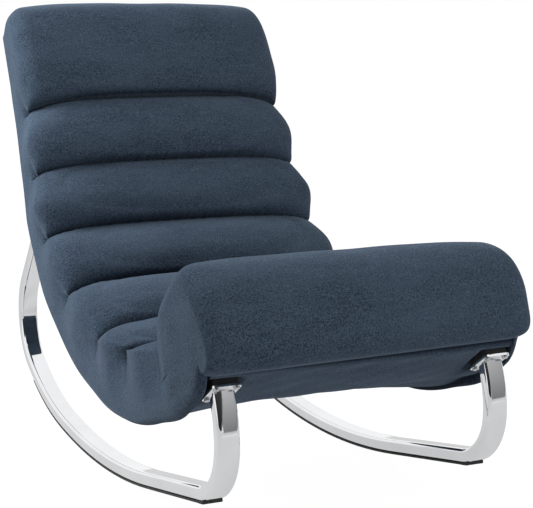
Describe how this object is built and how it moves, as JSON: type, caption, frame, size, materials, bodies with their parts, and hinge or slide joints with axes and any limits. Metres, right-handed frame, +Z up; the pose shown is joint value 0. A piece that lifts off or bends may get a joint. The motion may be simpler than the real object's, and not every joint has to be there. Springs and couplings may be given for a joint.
{
  "type": "rocking lounge chair",
  "caption": "Channel-padded one-piece lounge shell in fabric on two chromed flat-tube runners, which rocks on the floor.",
  "frame": {"origin": "on the floor, in the middle of the chair's box", "axes": "+Z up, the foot end faces -Y, the head end faces +Y, +X to the sitter's left"},
  "size_m": [0.6, 1.197, 0.9189],
  "materials": {
    "cover_fabric": "matte",
    "chromed_steel": "polished",
    "spacer_plastic": "matte",
    "strip_rubber": "matte",
    "frame_wood": "matte",
    "webbing": "matte",
    "zinc_steel": "satin"
  },
  "bodies": {
    "root": {"back_cover": "cover_fabric", "back_roll_lower": "cover_fabric", "back_roll_middle": "cover_fabric", "back_roll_upper": "cover_fabric", "floor_strip_left": "strip_rubber", "floor_strip_right": "strip_rubber", "foot_bolster": "cover_fabric", "foot_rail": "frame_wood", "front_mounting_board": "frame_wood", "front_plate_left": "chromed_steel", "front_plate_right": "chromed_steel", "front_spacer_left": "spacer_plastic", "front_spacer_right": "spacer_plastic", "head_rail": "frame_wood", "head_roll": "cover_fabric", "plate_bolts": "zinc_steel", "rear_mounting_board": "frame_wood", "rear_plate_left": "chromed_steel", "rear_plate_right": "chromed_steel", "rear_spacer_left": "spacer_plastic", "rear_spacer_right": "spacer_plastic", "runner_tube_left": "chromed_steel", "runner_tube_right": "chromed_steel", "seat_rail": "frame_wood", "seat_roll_front": "cover_fabric", "seat_roll_middle": "cover_fabric", "seat_roll_rear": "cover_fabric", "side_pad_left": "cover_fabric", "side_pad_right": "cover_fabric", "side_rail_left": "frame_wood", "side_rail_right": "frame_wood", "tee_nuts": "zinc_steel", "webbing_straps": "webbing"}
  },
  "joints": []
}
